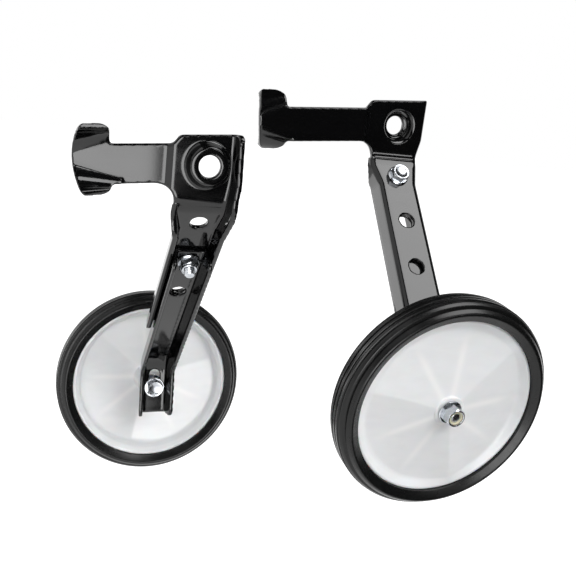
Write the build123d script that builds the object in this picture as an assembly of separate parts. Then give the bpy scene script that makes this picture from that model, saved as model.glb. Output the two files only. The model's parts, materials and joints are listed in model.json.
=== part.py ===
"""Pair of bicycle training wheels: a left and a right unit, each a pressed steel bracket with a hooked
arm, a height-adjustable lower arm and a free-running plastic wheel with a rubber tyre."""
from build123d import *
import math
import os

os.makedirs("parts", exist_ok=True)

# Millimetres and degrees. A unit is drawn with X to the rear, Y away from the bicycle and Z up, with its
# origin at the axle hole on the face that meets the dropout.

# Pressed steel sheet of the bracket and of the lower arm
sheet = 3.0
flare = 10.0                # splay of the bracket's flanges from square
bend_outer_r = 3.5          # outside radius of every folded corner
bend_inner_r = 1.0

# Axle plate with its pressed boss
axle_hole_d = 11.4
boss_flat_d = 19.6          # contact face around the axle hole
boss_height = 5.0           # boss stands this far in from the plate
boss_wall_run = 2.0         # radial run of the boss's sloping wall
boss_foot_r = 1.6           # where the boss leaves the plate's inner face
boss_rim_r = 3.0            # where the dish leaves the plate's outer face
boss_margin = 1.2           # flat ring around the boss's foot
plate_top = 15.5            # above the axle hole
left_plate_rear = 18.0      # behind the axle hole
right_plate_rear = 15.8
plate_flange_top = 8.5      # depth of the rear flange at the plate's top
plate_flange_r = 4.0
plate_taper_start = 8.0     # below the axle hole
plate_taper_end = 2.0       # above the crease
plate_flange_gap = 0.2      # the flange's profile runs this far past its free edge
crease_drop = 20.5          # from the axle hole down to the crease, on the outer face
left_crease_rear = 15.6     # rear half width at the crease
right_crease_rear = 14.2
crease_front = 16.0         # front half width at the crease

# Hooked arm that keeps the bracket from turning on the axle
left_arm_reach = 91.5       # axle hole to the hook's front edge
right_arm_reach = 67.0
left_fold = 21.5            # axle hole to the fold between plate and arm
right_fold = 17.0
fold_step = 2.6             # the arm lies this far out from the plate
arm_droop = 5.0             # fall towards the hook, of the arm and of the plate's top edge
arm_top = 11.0              # edges from the arm's own line through the axle hole
arm_bottom = 9.0
arm_gusset_run = 12.0       # length of the curve from the arm's lower edge to the crease
arm_step_run = 5.0          # the rise to the plate ends this far behind the fold
left_hook_length = 17.0
right_hook_length = 18.5
hook_height = 35.0
left_hook_rise = 2.2        # hook's middle above the arm's middle
right_hook_rise = 3.0
hook_front_r = 6.0          # corners of the lips' tips
hook_rear_r = 2.6
hook_notch_r = 1.5          # corner between a lip's rear edge and the arm
hook_setback = 3.5          # the lips' tips lie this far behind the middle of the front edge
hook_turn = 75.0            # turn of each lip from the arm's plane
hook_front_flat = 1.0       # flat between the lips at the front edge
hook_rear_flat = 18.5       # and where the lips have run out into the arm
hook_runout = 5.0           # behind the lips' rear edges

# Sloping channel with the height holes
slope = 40.0                # from upright
channel_width = 25.0        # over the folds
channel_length = 111.0      # crease to lower end
flange_depth = 11.0         # from the outer face
flange_end_r = 5.0
neck_start = 3.5            # below the crease
neck_end = 17.0
neck_r = 11.0
ramp_start = 6.0            # depth of the front flange at the crease
ramp_end = 12.0             # it has its full depth this far below the crease
first_hole = 12.5           # crease to first height hole
hole_pitch = 31.1
hole_count = 3
hole_d = 9.5
left_setting = 0            # height hole that the bolt is in, counted from the top
right_setting = 1

# Lower arm, which nests inside the channel
arm_sheet = 2.5
arm_width = 19.2
arm_flare = 8.0
arm_flange_depth = 14.0
arm_hole_margin = 9.0       # first hole to the top end
arm_run = 116.5             # first hole to the bend
arm_bend_r = 20.0           # on the outer face
arm_end_r = 4.0
axle_below_bend = 20.0
arm_tail = 18.0             # axle to the lower end
wheel_lean = 6.5            # past upright, the top of the wheel leaning out
slot_width = 7.0
slot_up = 2.0               # slot centres above and below the axle
slot_down = 9.0

# M6 fasteners
thread_d = 6.0
hex_flats = 10.0
head_height = 4.2
nut_height = 5.0
lock_nut_height = 6.4
flange_d = 13.2
flange_height = 1.5
washer_d = 13.6
washer_height = 1.2
hex_chamfer = 0.7
height_bolt_tail = 3.4      # thread past the height nut
axle_bolt_inset = 1.0       # bolt's end below the lock nut's end
washer_clearance = 0.2      # radial, washer on bolt
insert_bore_d = 6.06        # nylon ring in the lock nut
insert_outer_d = 8.2
insert_height = 1.6
nut_clearance = 0.03        # radial, nut on thread

# Wheel: white moulded disc on a steel bush, with a rubber tyre
hub_length = 21.0
hub_d = 20.0
hub_neck_d = 19.0
hub_face_d = 17.0
bush_outer_d = 10.0
bush_clearance = 0.05       # radial, bush on bolt
side_clearance = 0.3        # each end of the hub
rim_width = 15.0
rim_edge_height = 3.0       # the rim's edges stand this far above the tyre's seat
rim_edge_width = 2.5
rim_wall = 2.5              # under the tyre's seat
rim_edge_r = 1.2
web_wall = 3.0
web_rim_height = 4.2        # outer face of the web above the middle plane, at the rim
web_hub_height = 9.3
pleat_count = 3
pleat_half_angle = 40.0
pleat_rim_height = 3.4      # crest above the web
pleat_hub_height = 0.9
left_pleat_turn = 104.0     # first crest from the downward direction
right_pleat_turn = 13.0

tyre_d = 127.0
tyre_height = 10.5          # rim's edge to the crown
tyre_width = 24.0
tread_width = 11.0          # flat of the crown
shoulder_drop = 5.5
shoulder_r = 5.0
sidewall_r = 2.0            # where the shoulder turns into the sidewall
sidewall_foot_width = 18.0  # tyre width where it meets the rim's edge
groove_count = 6
groove_pitch = 3.4
groove_width = 1.3
groove_depth = 1.3

# The right unit lies ahead of the left one, as the pair is shown
right_unit_at = (-131.0, -61.0, -28.0)

# Directions and points in the Y-Z plane
slope_sin, slope_cos = math.sin(math.radians(slope)), math.cos(math.radians(slope))
lean_sin, lean_cos = math.sin(math.radians(wheel_lean)), math.cos(math.radians(wheel_lean))
droop_sin, droop_cos = math.sin(math.radians(arm_droop)), math.cos(math.radians(arm_droop))
plate_outer_y = boss_height + sheet
far = 300.0                 # reach of cutting solids
seam = 0.002                # the two halves of a pressing meet within this
half_thread = thread_d / 2
rim_outer_d = tyre_d - 2 * tyre_height
seat_d = rim_outer_d - 2 * rim_edge_height
rim_inner_d = seat_d - 2 * rim_wall
seat_width = rim_width - 2 * rim_edge_width
arm_inner_r = 0.6 * bend_inner_r
arm_mid_z = (arm_top - arm_bottom) / 2

slope_plane = Plane(origin=(0, plate_outer_y, -crease_drop), x_dir=(1, 0, 0),
                    z_dir=(0, -slope_cos, -slope_sin))
plate_plane = Plane(origin=(0, plate_outer_y, 0), x_dir=(1, 0, 0), z_dir=(0, -1, 0))


def slope_point(along, depth):
    """Point in Y and Z, along the slope below the crease and at a depth in from the outer face."""
    return (plate_outer_y + along * slope_sin - depth * slope_cos,
            -crease_drop - along * slope_cos - depth * slope_sin)


def hole_position(setting):
    return first_hole + setting * hole_pitch


def arm_corner(setting):
    """Corner of the lower arm's outer face where its slope meets its upright end."""
    return slope_point(hole_position(setting) + arm_run, sheet)


def axle_point(setting, out):
    """Point on the wheel's axis, at a distance out from the lower arm's outer face."""
    y, z = arm_corner(setting)
    return (0, y - axle_below_bend * lean_sin + out * lean_cos,
            z - axle_below_bend * lean_cos - out * lean_sin)


def axle_plane(setting, out):
    """Plane square to the wheel's axis, facing out from the bicycle."""
    return Plane(origin=axle_point(setting, out), x_dir=(1, 0, 0), z_dir=(0, lean_cos, -lean_sin))


def disc(diameter, height):
    return Cylinder(diameter / 2, height, align=(Align.CENTER, Align.CENTER, Align.MIN))


def ring(outer_d, inner_d, height):
    return disc(outer_d, height) - disc(inner_d, height)


def hexagon(height):
    """Hexagon with the corners of its upper end rounded off to a cone."""
    across_corners = hex_flats / math.cos(math.pi / 6)
    blank = disc(across_corners, height)
    blank = chamfer(blank.edges().group_by(Axis.Z)[-1], hex_chamfer)
    return extrude(RegularPolygon(hex_flats / 2, 6, major_radius=False), height) & blank


def spread_points(points, distance):
    """Corners of a counter-clockwise outline, with every side moved out by a distance."""
    moved = []
    for index, (x, y) in enumerate(points):
        before, after = points[index - 1], points[(index + 1) % len(points)]
        lead, trail = math.atan2(y - before[1], x - before[0]), math.atan2(after[1] - y, after[0] - x)
        middle, reach = (lead + trail) / 2, distance / math.cos((trail - lead) / 2)
        moved.append((x + reach * math.sin(middle), y - reach * math.cos(middle)))
    return moved


def pan(plane, points, splay, depth, neck_r, fold_r):
    """Block with splayed sides standing on an outline, its neck and its floor's edges rounded."""
    roof = Plane(origin=plane.origin + plane.z_dir * depth, x_dir=plane.x_dir, z_dir=plane.z_dir)
    wide = spread_points(points, depth * math.tan(math.radians(splay)))
    block = loft([plane * Polygon(*points, align=None), roof * Polygon(*wide, align=None)], ruled=True)
    middles = [(edge, plane.to_local_coords(edge.center())) for edge in block.edges()]
    necks = [edge for edge, at in middles
             if abs(at.Z - depth / 2) < depth / 4 and -crease_drop < at.Y < 0]
    block = fillet(necks, neck_r)
    return fillet(block.faces().sort_by(Axis(plane.origin, plane.z_dir))[0].edges(), fold_r)


def tray(plane, points, splay, depth, wall):
    """Sheet pan of an outline: its floor on the plane, its splayed walls along the plane's normal."""
    inset = wall / math.cos(math.radians(splay)) - wall * math.tan(math.radians(splay))
    floor = Plane(origin=plane.origin + plane.z_dir * wall, x_dir=plane.x_dir, z_dir=plane.z_dir)
    outer = pan(plane, points, splay, depth, neck_r, bend_outer_r)
    return outer - pan(floor, spread_points(points, -inset), splay, depth, neck_r, bend_inner_r)


def axle_boss():
    """Dished ring around the axle hole, pressed in from the plate towards the dropout."""
    hole_r, flat_r = axle_hole_d / 2, boss_flat_d / 2
    pitch = boss_wall_run / boss_height
    skin = sheet * math.hypot(1, pitch)
    foot_r = flat_r + boss_wall_run
    edge_r = foot_r + boss_margin
    floor_corner = (flat_r + pitch * sheet - skin, sheet)
    rim_corner = (flat_r + pitch * plate_outer_y - skin, plate_outer_y)
    face = Polygon((hole_r, 0), (flat_r, 0), (foot_r, boss_height), (edge_r, boss_height),
                   (edge_r, plate_outer_y), rim_corner, floor_corner, (hole_r, sheet), align=None)
    corners = face.vertices().sort_by_distance
    face = fillet(corners((foot_r, boss_height, 0))[0], boss_foot_r)
    face = fillet(face.vertices().sort_by_distance((*rim_corner, 0))[0], boss_rim_r)
    face = fillet(face.vertices().sort_by_distance((flat_r, 0, 0))[0], bend_inner_r)
    return revolve(face, Axis.Y), edge_r


def hook_section(x, flat, rise):
    """Thick C across the hook, open towards the bicycle."""
    outer_y = plate_outer_y + fold_step
    mid_z = arm_mid_z + rise
    outer_r = (hook_height - flat) / 2 / math.sin(math.radians(hook_turn))
    centre_y = outer_y - outer_r
    inner_r = outer_r - sheet
    upper, lower = (centre_y, mid_z + flat / 2), (centre_y, mid_z - flat / 2)
    outer_upper = CenterArc(upper, outer_r, 0, hook_turn)
    inner_upper = CenterArc(upper, inner_r, 0, hook_turn)
    outer_lower = CenterArc(lower, outer_r, -hook_turn, hook_turn)
    inner_lower = CenterArc(lower, inner_r, -hook_turn, hook_turn)
    loop = Curve() + [outer_upper, inner_upper, outer_lower, inner_lower,
                      Line(outer_lower @ 1, outer_upper @ 0), Line(inner_lower @ 1, inner_upper @ 0),
                      Line(outer_upper @ 1, inner_upper @ 1), Line(outer_lower @ 0, inner_lower @ 0)]
    return Plane(origin=(x, 0, 0), x_dir=(0, 1, 0), z_dir=(1, 0, 0)) * make_face(loop)


def hook_outline(length, rise):
    """Side view of the hook from the middle of its front edge, with the start of the arm."""
    top, runout = hook_height / 2, length + hook_runout
    front = ThreePointArc((hook_setback, -top), (0, 0), (hook_setback, top))
    lips = make_face(Curve() + [front, Polyline(front @ 1, (length, top), (length, -top), front @ 0)])
    corners = lips.vertices().sort_by(Axis.X)
    lips = fillet(corners[:2], hook_front_r)
    lips = fillet(lips.vertices().sort_by(Axis.X)[-2:], hook_rear_r)
    arm_low, arm_high = -arm_bottom - arm_mid_z - rise, arm_top - arm_mid_z - rise
    stub = Polygon((length / 2, arm_low), (runout, arm_low), (runout, arm_high), (length / 2, arm_high),
                   align=None)
    outline = lips + stub
    notches = [outline.vertices().sort_by_distance((length, z, 0))[0] for z in (arm_low, arm_high)]
    return fillet(notches, hook_notch_r)


def hook(reach, length, rise):
    front = hook_section(-reach, hook_front_flat, rise)
    rear = hook_section(length + hook_runout - reach, hook_rear_flat, rise)
    outline = Pos(-reach, arm_mid_z + rise) * hook_outline(length, rise)
    return Rot(0, -arm_droop, 0) * (loft([front, rear]) & extrude(Plane.XZ * outline, far, both=True))


def arm_axes(x, z):
    """Point of the side view in the arm's own axes, which fall towards the hook."""
    return (x * droop_cos + z * droop_sin, z * droop_cos - x * droop_sin)


def front_outline(arm_end, fold):
    """Side view of the plate and arm in the arm's axes, with the step and the gusset between them."""
    step_front, step_rear = -fold - fold_step, arm_step_run - fold
    gusset_front = -crease_front - arm_gusset_run
    step = Spline((step_front, arm_top), (step_rear, plate_top), tangents=[(1, 0), (1, 0)])
    gusset = Spline((gusset_front, -arm_bottom), arm_axes(-crease_front, -crease_drop),
                    tangents=[(1, 0), arm_axes(0, -1)])
    edges = Polyline((step_rear, plate_top), (far, plate_top), (far, -far), arm_axes(-crease_front, -far),
                     gusset @ 1)
    arm_edges = Polyline(gusset @ 0, (arm_end, -arm_bottom), (arm_end, arm_top), (step_front, arm_top))
    return make_face(Curve() + [step, gusset, edges, arm_edges])


def upper_bracket(reach, fold, plate_rear, crease_rear, hook_length, hook_rise):
    """One pressing: hook, arm, axle plate with boss, and the channel with its height holes."""
    half = channel_width / 2
    # Rear edge of the plate, with the fold of its flange
    plate_points = [(-reach, -reach), (crease_rear, -reach), (crease_rear, plate_taper_end - crease_drop),
                    (plate_rear, -plate_taper_start), (plate_rear, reach), (-reach, reach)]
    plate = tray(plate_plane, plate_points, flare, flange_depth, sheet)
    flange_corner = (plate_outer_y - plate_flange_top, plate_top)
    flange_foot = plate_outer_y - flange_depth - plate_flange_gap
    side_view = Polygon((far, -far), (far, plate_top), flange_corner, (flange_foot, -crease_drop),
                        (flange_foot, -far), align=None)
    side_view = fillet(side_view.vertices().sort_by_distance((*flange_corner, 0))[0], plate_flange_r)
    plate &= Rot(0, -arm_droop, 0) * extrude(Plane.YZ * side_view, far, both=True)
    # The channel narrows below the crease
    channel_points = [(-half, -2 * channel_length), (half, -2 * channel_length), (half, -neck_end),
                      (crease_rear, -neck_start), (crease_rear, reach), (-crease_front, reach),
                      (-crease_front, -neck_start), (-half, -neck_end)]
    channel = tray(slope_plane, channel_points, flare, flange_depth, sheet)
    lower_end = Plane(origin=slope_plane.origin - slope_plane.y_dir * channel_length, x_dir=(1, 0, 0),
                      z_dir=slope_plane.y_dir)
    channel = split(channel, lower_end, keep=Keep.TOP)
    wall_edge = sheet / math.cos(math.radians(flare))
    ends = [e for e in channel.edges().filter_by(Axis.X) if abs(e.length - wall_edge) < 0.1]
    channel = fillet(ends, flange_end_r)
    # Front flange grows from the crease to its full depth
    ramp_foot = -ramp_start * ramp_end / (flange_depth - ramp_start)
    ramp = Polygon(slope_point(ramp_foot, 0), slope_point(ramp_end, flange_depth), slope_point(ramp_end, far),
                   slope_point(-far, far), align=None)
    channel -= extrude(Plane.YZ * ramp, far, dir=(-1, 0, 0))
    # Both halves meet on the plane that halves the crease
    mitre = Plane(origin=slope_plane.origin, x_dir=(1, 0, 0),
                  z_dir=(0, math.sin(math.radians(slope / 2)), -math.cos(math.radians(slope / 2))))
    channel = split(channel, mitre, keep=Keep.TOP)
    corner = sheet * math.tan(math.pi / 8)
    arm_y = plate_outer_y + fold_step
    arm_face = Polygon((-fold, plate_outer_y), (-fold - fold_step, arm_y), (-reach, arm_y),
                       (-reach, arm_y - sheet), (-fold - fold_step - corner, arm_y - sheet),
                       (-fold - corner, boss_height), (-fold, boss_height), align=None)
    front = plate & Pos(far - fold, 0, 0) * Box(2 * far, 2 * far, 2 * far)
    front += extrude(arm_face, far, both=True)
    arm_end = hook_length + hook_runout - reach - bend_inner_r
    front &= Rot(0, -arm_droop, 0) * extrude(Plane.XZ * front_outline(arm_end, fold), far, both=True)
    front = split(front, mitre, keep=Keep.BOTTOM)
    boss, boss_edge_r = axle_boss()
    front -= extrude(plate_plane * Circle(boss_edge_r), sheet)
    bracket = front.fuse(channel, tol=seam) + boss + hook(reach, hook_length, hook_rise)
    for index in range(hole_count):
        at = slope_plane * Pos(0, -hole_position(index), 0)
        bracket -= at * Cylinder(hole_d / 2, 4 * sheet)
    return bracket


def lower_arm(setting):
    """Channel section bent near its lower end, with two height holes and a slot for the axle."""
    spread, skin = math.tan(math.radians(arm_flare)), arm_sheet / math.cos(math.radians(arm_flare))
    half = arm_width / 2
    tip = half + arm_flange_depth * spread
    inner = half + arm_sheet * spread - skin
    face = Polygon((-half, 0), (half, 0), (tip, arm_flange_depth), (tip - skin, arm_flange_depth),
                   (inner, arm_sheet), (-inner, arm_sheet), (skin - tip, arm_flange_depth),
                   (-tip, arm_flange_depth), align=None)
    folds = [v for v in face.vertices() if v.Y < seam]
    face = fillet(folds, bend_outer_r)
    inner_folds = [face.vertices().sort_by_distance((side * inner, arm_sheet, 0))[0] for side in (-1, 1)]
    face = fillet(inner_folds, arm_inner_r)
    top = slope_point(hole_position(setting) - arm_hole_margin, sheet)
    corner = arm_corner(setting)
    reach = axle_below_bend + arm_tail
    low = (corner[0] - reach * lean_sin, corner[1] - reach * lean_cos)
    path = FilletPolyline((0, *top), (0, *corner), (0, *low), radius=arm_bend_r)
    start = Plane(origin=(0, *top), x_dir=(1, 0, 0), z_dir=(0, slope_sin, -slope_cos))
    arm = sweep(start * face, path=path)
    ends = [e for e in arm.edges().filter_by(Axis.X) if abs(e.length - skin) < 0.1]
    arm = fillet(ends, arm_end_r)
    for index in range(2):
        at = slope_plane * Pos(0, -hole_position(setting + index), sheet)
        arm -= at * Cylinder(hole_d / 2, 4 * sheet)
    slot = SlotCenterToCenter(slot_up + slot_down, slot_width, rotation=90)
    slot = axle_plane(setting, 0) * Pos(0, (slot_up - slot_down) / 2) * slot
    return arm - extrude(slot, 2 * sheet, both=True)


def height_bolt(setting):
    at = slope_point(hole_position(setting), 0)
    seat = Plane(origin=(0, *at), x_dir=(1, 0, 0), z_dir=-slope_plane.z_dir)
    grip = sheet + arm_sheet + flange_height + nut_height + height_bolt_tail
    bolt = disc(flange_d, flange_height) + Pos(0, 0, flange_height) * hexagon(head_height)
    return seat * (bolt + Pos(0, 0, -grip) * disc(thread_d, grip))


def height_nut(setting):
    at = slope_point(hole_position(setting), sheet + arm_sheet)
    seat = Plane(origin=(0, *at), x_dir=(1, 0, 0), z_dir=slope_plane.z_dir)
    nut = disc(flange_d, flange_height) + Pos(0, 0, flange_height) * hexagon(nut_height)
    return seat * (nut - disc(thread_d + 2 * nut_clearance, flange_height + nut_height))


# Distances out from the lower arm's outer face along the wheel's axis
inner_washer_out = nut_height
hub_out = inner_washer_out + washer_height + side_clearance
outer_washer_out = hub_out + hub_length + side_clearance
lock_nut_out = outer_washer_out + washer_height
bolt_end_out = lock_nut_out + lock_nut_height - axle_bolt_inset
head_washer_out = -arm_sheet - washer_height


def axle_bolt(setting):
    head = Pos(0, 0, head_washer_out) * Rot(180, 0, 0) * hexagon(head_height)
    shank = Pos(0, 0, head_washer_out) * disc(thread_d, bolt_end_out - head_washer_out)
    return axle_plane(setting, 0) * (head + chamfer(shank.edges().sort_by(Axis.Z)[-1], hex_chamfer))


def axle_washer(setting, out):
    return axle_plane(setting, out) * ring(washer_d, thread_d + 2 * washer_clearance, washer_height)


def clamp_nut(setting):
    return axle_plane(setting, 0) * (hexagon(nut_height) - disc(thread_d + 2 * nut_clearance, nut_height))


def lock_insert_seat():
    return Pos(0, 0, lock_nut_height - insert_height - hex_chamfer)


def lock_nut(setting):
    nut = hexagon(lock_nut_height) - disc(thread_d + 2 * nut_clearance, lock_nut_height)
    nut -= lock_insert_seat() * disc(insert_outer_d, lock_nut_height)
    return axle_plane(setting, lock_nut_out) * nut


def lock_insert(setting):
    insert = lock_insert_seat() * ring(insert_outer_d, insert_bore_d, insert_height)
    return axle_plane(setting, lock_nut_out) * insert


def web_body(radius, pleat_turn):
    """Solid under the wheel's pleated outer face, down past the hub's inner end."""
    depth = -2 * hub_length
    rim_r, hub_r = rim_inner_d / 2, hub_neck_d / 2
    rise = (web_hub_height - web_rim_height) / (hub_r - rim_r)
    crest = (pleat_hub_height - pleat_rim_height) / (hub_r - rim_r)

    def floor_z(r):
        return web_rim_height + (r - rim_r) * rise

    def pleat_section(r):
        side = r * math.tan(math.radians(pleat_half_angle))
        edge_z = floor_z(math.hypot(r, side))
        crest_z = floor_z(r) + pleat_rim_height + (r - rim_r) * crest
        outline = Polygon((-side, depth), (side, depth), (side, edge_z), (0, crest_z), (-side, edge_z),
                          align=None)
        return Plane(origin=(0, r, 0), x_dir=(-1, 0, 0), z_dir=(0, 1, 0)) * outline

    cone = Polygon((0, depth), (tyre_d, depth), (tyre_d, floor_z(tyre_d)), (0, floor_z(0)), align=None)
    body = revolve(Plane.XZ * cone, Axis.Z)
    pleat = loft([pleat_section(hub_r / 2), pleat_section(tyre_d / 2)], ruled=True)
    for index in range(pleat_count):
        body += Rot(0, 0, pleat_turn + index * 360 / pleat_count) * pleat
    return body & Cylinder(radius, 3 * abs(depth))


def wheel_disc(pleat_turn):
    """Moulded wheel about Z: hub, pleated web of even wall, and rim with a seat for the tyre."""
    rim_r, edge_r, seat_r = rim_inner_d / 2, rim_outer_d / 2, seat_d / 2
    half, seat_half = rim_width / 2, seat_width / 2
    rim_face = Polygon((rim_r, -half), (edge_r, -half), (edge_r, -seat_half), (seat_r, -seat_half),
                       (seat_r, seat_half), (edge_r, seat_half), (edge_r, half), (rim_r, half), align=None)
    rim_face = fillet([v for v in rim_face.vertices() if abs(abs(v.Y) - half) < 0.1], rim_edge_r)
    rim = revolve(Plane.XZ * rim_face, Axis.Z)
    web = web_body((rim_r + seat_r) / 2, pleat_turn) - Pos(0, 0, -web_wall) * web_body(seat_r, pleat_turn)
    hub = Pos(0, 0, -hub_length / 2) * disc(hub_neck_d, hub_length / 2)
    hub = chamfer(hub.edges().group_by(Axis.Z)[0], rim_edge_r)
    nose_height = hub_length / 2 - web_hub_height + web_wall
    nose = Cone(hub_d / 2, hub_face_d / 2, nose_height, align=(Align.CENTER, Align.CENTER, Align.MAX))
    hub += Pos(0, 0, hub_length / 2) * nose + disc(hub_neck_d, web_hub_height)
    return rim + web + hub - Cylinder(bush_outer_d / 2, 2 * hub_length)


def hub_bush():
    return Cylinder(bush_outer_d / 2, hub_length) - Cylinder(half_thread + bush_clearance, 2 * hub_length)


def tyre():
    """Rubber tyre about Z, with ribs round its tread and a bead in the rim's seat."""
    outer_r, edge_r, seat_r = tyre_d / 2, rim_outer_d / 2, seat_d / 2
    half, tread_half, foot_half = tyre_width / 2, tread_width / 2, sidewall_foot_width / 2
    shoulder_r_at = outer_r - shoulder_drop
    side = [(edge_r, -foot_half), (shoulder_r_at, -half), (outer_r, -tread_half), (outer_r, tread_half),
            (shoulder_r_at, half), (edge_r, foot_half)]
    seat_half = seat_width / 2
    bead = [(edge_r, seat_half), (seat_r, seat_half), (seat_r, -seat_half), (edge_r, -seat_half)]
    face = Polygon(*side, *bead, align=None)
    face = fillet([v for v in face.vertices() if v.X > outer_r - 0.1], shoulder_r)
    face = fillet([v for v in face.vertices() if abs(abs(v.Y) - half) < 0.1], sidewall_r)
    body = revolve(Plane.XZ * face, Axis.Z)
    for index in range(groove_count):
        z = (index - (groove_count - 1) / 2) * groove_pitch
        crown_drop = shoulder_drop * max(abs(z) - tread_half, 0) / (half - tread_half)
        groove = ring(2 * tyre_d, tyre_d - 2 * (crown_drop + groove_depth), groove_width)
        body -= Pos(0, 0, z - groove_width / 2) * groove
    return body


def unit(reach, fold, plate_rear, crease_rear, hook_length, hook_rise, setting, pleat_turn):
    """Every piece of one unit, as the right-hand one."""
    wheel_at = axle_plane(setting, hub_out + hub_length / 2)
    return {
        "upper_bracket": upper_bracket(reach, fold, plate_rear, crease_rear, hook_length, hook_rise),
        "lower_arm": lower_arm(setting),
        "height_bolt": height_bolt(setting),
        "height_nut": height_nut(setting),
        "axle_bolt": axle_bolt(setting),
        "axle_head_washer": axle_washer(setting, head_washer_out),
        "axle_clamp_nut": clamp_nut(setting),
        "inner_washer": axle_washer(setting, inner_washer_out),
        "outer_washer": axle_washer(setting, outer_washer_out),
        "lock_nut": lock_nut(setting),
        "lock_nut_insert": lock_insert(setting),
        "wheel_disc": wheel_at * wheel_disc(pleat_turn),
        "hub_bush": wheel_at * hub_bush(),
        "tyre": wheel_at * tyre(),
    }


left_unit = unit(left_arm_reach, left_fold, left_plate_rear, left_crease_rear, left_hook_length,
                 left_hook_rise, left_setting, left_pleat_turn)
right_unit = unit(right_arm_reach, right_fold, right_plate_rear, right_crease_rear, right_hook_length,
                  right_hook_rise, right_setting, right_pleat_turn)
for name, piece in left_unit.items():
    export_step(mirror(piece, Plane.XZ), f"parts/left_{name}.step")
for name, piece in right_unit.items():
    export_step(Pos(*right_unit_at) * piece, f"parts/right_{name}.step")
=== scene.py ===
"""A pair of bicycle training wheels: black pressed brackets with hooked arms, bright fasteners and white
wheels with ribbed rubber tyres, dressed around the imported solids."""
import json
import logging
import math
from collections.abc import Callable, Sequence
from dataclasses import dataclass, field
from enum import Enum

import bmesh
import bpy
from mathutils import Matrix, Vector


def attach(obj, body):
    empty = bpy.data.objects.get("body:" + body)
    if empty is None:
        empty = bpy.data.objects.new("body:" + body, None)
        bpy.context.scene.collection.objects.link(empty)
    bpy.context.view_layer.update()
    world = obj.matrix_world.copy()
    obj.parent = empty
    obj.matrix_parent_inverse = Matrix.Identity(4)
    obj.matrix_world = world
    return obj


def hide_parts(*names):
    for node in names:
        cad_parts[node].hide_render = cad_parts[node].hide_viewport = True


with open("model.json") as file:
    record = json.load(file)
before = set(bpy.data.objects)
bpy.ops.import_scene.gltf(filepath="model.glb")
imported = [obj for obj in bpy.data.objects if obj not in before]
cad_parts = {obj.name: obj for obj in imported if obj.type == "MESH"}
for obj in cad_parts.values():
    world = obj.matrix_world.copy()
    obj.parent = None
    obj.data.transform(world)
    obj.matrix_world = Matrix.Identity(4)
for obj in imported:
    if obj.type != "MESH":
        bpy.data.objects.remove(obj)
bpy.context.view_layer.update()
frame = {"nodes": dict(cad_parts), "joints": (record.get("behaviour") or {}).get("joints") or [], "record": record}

LOG = logging.getLogger("training_wheels")
MM = 0.001
# Point attribute that carries the painted highlight along the wheel discs' pleat edges.
RIDGE_HIGHLIGHT = "ridge"
UP = Vector((0, 0, 1))
REAR = Vector((1, 0, 0))
CORNER_SHARE = 0.49
SHARP_EDGE = math.radians(38)
HEX_FLATS = 10.0

Colour = tuple[float, float, float]
Place = tuple[float, float, float]


class Side(Enum):
    """Which side of the bicycle a unit is for, by the sign of its outward direction along Y."""

    LEFT = -1
    RIGHT = 1

    def node(self, piece: str) -> str:
        """Name of this side's node for a piece."""
        return f"{self.name.lower()}_{piece}"


class Slot(Enum):
    """Material slots of the record."""

    PAINT = "black_paint"
    ZINC = "zinc_plate"
    NYLON = "nylon"
    PLASTIC = "white_plastic"
    RUBBER = "black_rubber"


class Form(Enum):
    """Outline of a turned piece at one of its stations."""

    ROUND = "round"
    HEX = "hex"
    THREAD = "thread"


class Task(Enum):
    """What a lamp does: it lights surfaces, or it shows only as a reflection."""

    LIGHT = "light"
    MIRROR = "mirror"


# Meshes


def smooth_step(low: float, high: float, value: float) -> float:
    """Soft rise from 0 to 1 between two values."""
    t = min(max((value - low) / (high - low), 0.0), 1.0)
    return t * t * (3 - 2 * t)


def rounded(points: Sequence[Vector], radii: dict[int, float], steps: int = 5) -> list[Vector]:
    """Closed outline with some of its corners turned into curves.

    Args:
        points: Corners of the outline.
        radii: Size of the curve at each corner that is to be rounded, by the corner's index.
        steps: Stretches in each curve.

    Returns:
        The points of the outline, as many for every outline with these corners.
    """
    result: list[Vector] = []
    for index, at in enumerate(points):
        radius = radii.get(index, 0.0)
        if radius == 0.0:
            result.append(at)
            continue
        to_last, to_next = points[index - 1] - at, points[(index + 1) % len(points)] - at
        half = to_last.angle(to_next) / 2
        run = min(radius / math.tan(half), CORNER_SHARE * to_last.length, CORNER_SHARE * to_next.length)
        start, end = at + to_last.normalized() * run, at + to_next.normalized() * run
        for step in range(steps + 1):
            t = step / steps
            result.append(start.lerp(at, t).lerp(at.lerp(end, t), t))
    return result


def skin(name: str, rings: Sequence[Sequence[Vector]], looped: bool,
         capped: bool = False) -> bpy.types.Object:
    """Surface through closed rings of points.

    Args:
        name: Name of the new object.
        rings: Rings with as many points each, all running the same way round.
        looped: Whether the last ring joins the first.
        capped: Whether a face closes the first ring and another the last.

    Returns:
        The new object.
    """
    width = len(rings[0])
    faces: list[list[int]] = []
    for row in range(len(rings) if looped else len(rings) - 1):
        low, high = row * width, (row + 1) % len(rings) * width
        for column in range(width):
            beside = (column + 1) % width
            faces.append([low + column, low + beside, high + beside, high + column])
    if capped:
        faces.append(list(range(width)))
        faces.append([(len(rings) - 1) * width + column for column in range(width)])
    mesh = bpy.data.meshes.new(name)
    mesh.from_pydata([point for ring in rings for point in ring], [], faces)
    return finish_mesh(name, mesh, SHARP_EDGE)


def finish_mesh(name: str, mesh: bpy.types.Mesh, sharp: float) -> bpy.types.Object:
    """Turns a mesh's faces outwards, shades it smooth and puts it in the scene.

    Args:
        name: Name of the new object.
        mesh: Mesh that the object takes.
        sharp: Edges steeper than this, in radians, stay sharp.

    Returns:
        The new object.
    """
    work = bmesh.new()
    work.from_mesh(mesh)
    bmesh.ops.recalc_face_normals(work, faces=work.faces)
    work.to_mesh(mesh)
    work.free()
    mesh.shade_smooth()
    mesh.set_sharp_from_angle(angle=sharp)
    made = bpy.data.objects.new(name, mesh)
    bpy.context.collection.objects.link(made)
    return made


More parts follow.
